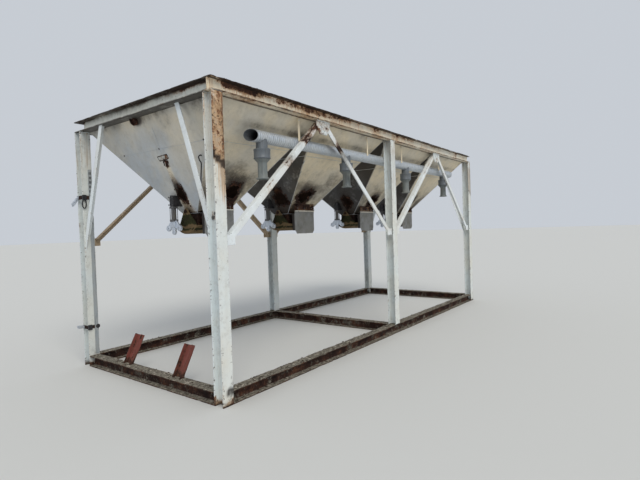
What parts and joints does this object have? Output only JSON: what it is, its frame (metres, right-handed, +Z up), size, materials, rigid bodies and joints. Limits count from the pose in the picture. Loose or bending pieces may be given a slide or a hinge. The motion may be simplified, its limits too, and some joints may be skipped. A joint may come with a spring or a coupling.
{
  "type": "aggregate feed bin",
  "caption": "Row of open-topped pyramid hoppers with sector gates under them, hung in a steel portal frame on a sill ring, with braces and an air duct.",
  "frame": {"origin": "on the ground, under the middle of the bin's outline, the clamp arms at its near end included", "axes": "+X along the row towards its far end, +Y from the open front side to the back side, +Z up"},
  "size_m": [6.47, 2.42, 2.826],
  "materials": {
    "post_paint": "old white paint, chipped, with rust runs",
    "ring_paint": "old white paint, heavily rusted along the upper flange",
    "brace_paint": "old white paint, chipped",
    "back_brace_paint": "beige paint, dirty",
    "sill_rust": "rusted and covered with dried mud",
    "hopper_plate": "grey-beige paint, dusty, rusted through near the outlets",
    "spout_rust": "flaking brown rust",
    "gate_steel": "dark rust with green growth",
    "apron_grey": "pale grey paint, dusty, worn at the edges",
    "cylinder_alloy": "dull, stained",
    "duct_zinc": "galvanised, dull",
    "drop_plastic": "grey, dusty",
    "clamp_rust": "rusty, with a dull zinc arm",
    "red_oxide": "red primer, faded"
  },
  "bodies": {
    "frame": {"post_front_near": "post_paint", "post_front_mid": "post_paint", "post_front_far": "post_paint", "post_back_near": "post_paint", "post_back_mid": "post_paint", "post_back_far": "post_paint", "ring_beam_near": "ring_paint", "ring_beam_far": "ring_paint", "cross_beam_mid": "ring_paint", "ring_beam_front": "ring_paint", "ring_beam_back": "ring_paint", "sill_near": "sill_rust", "sill_mid": "sill_rust", "sill_far": "sill_rust", "sill_front": "sill_rust", "sill_back": "sill_rust", "brace_front_near_1": "brace_paint", "brace_front_near_2": "brace_paint", "brace_front_far_1": "brace_paint", "brace_front_far_2": "brace_paint", "brace_back_near_1": "back_brace_paint", "brace_back_near_2": "back_brace_paint", "brace_back_far_1": "back_brace_paint", "brace_back_far_2": "back_brace_paint", "knee_brace_near_front": "brace_paint", "knee_brace_near_back": "brace_paint", "knee_brace_far_front": "brace_paint", "knee_brace_far_back": "brace_paint", "hopper_1": "hopper_plate", "spout_1": "spout_rust", "air_cylinder_1": "cylinder_alloy", "apron_1": "apron_grey", "hopper_2": "hopper_plate", "spout_2": "spout_rust", "air_cylinder_2": "cylinder_alloy", "apron_2": "apron_grey", "hopper_3": "hopper_plate", "spout_3": "spout_rust", "air_cylinder_3": "cylinder_alloy", "apron_3": "apron_grey", "hopper_4": "hopper_plate", "spout_4": "spout_rust", "air_cylinder_4": "cylinder_alloy", "apron_4": "apron_grey", "partition_cap_near": "ring_paint", "partition_cap_far": "ring_paint", "duct": "duct_zinc", "duct_drop_1": "drop_plastic", "duct_drop_2": "drop_plastic", "duct_drop_3": "drop_plastic", "duct_drop_4": "drop_plastic", "post_clamp_upper": "clamp_rust", "post_clamp_lower": "clamp_rust", "stub_front": "red_oxide", "stub_back": "red_oxide"},
    "gate_body_1": {"gate_1": "gate_steel"},
    "gate_body_2": {"gate_2": "gate_steel"},
    "gate_body_3": {"gate_3": "gate_steel"},
    "gate_body_4": {"gate_4": "gate_steel"}
  },
  "joints": [
    {"name": "gate_swing_1", "type": "hinge", "parent": "frame", "child": "gate_body_1", "pos_m": [-2.2962, 0, 1.74], "axis": [1, 0, 0], "range_deg": [0, 65]},
    {"name": "gate_swing_2", "type": "hinge", "parent": "frame", "child": "gate_body_2", "pos_m": [-0.7887, 0, 1.74], "axis": [1, 0, 0], "range_deg": [0, 65]},
    {"name": "gate_swing_3", "type": "hinge", "parent": "frame", "child": "gate_body_3", "pos_m": [0.8687, 0, 1.74], "axis": [1, 0, 0], "range_deg": [0, 65]},
    {"name": "gate_swing_4", "type": "hinge", "parent": "frame", "child": "gate_body_4", "pos_m": [2.3763, 0, 1.74], "axis": [1, 0, 0], "range_deg": [0, 65]}
  ]
}
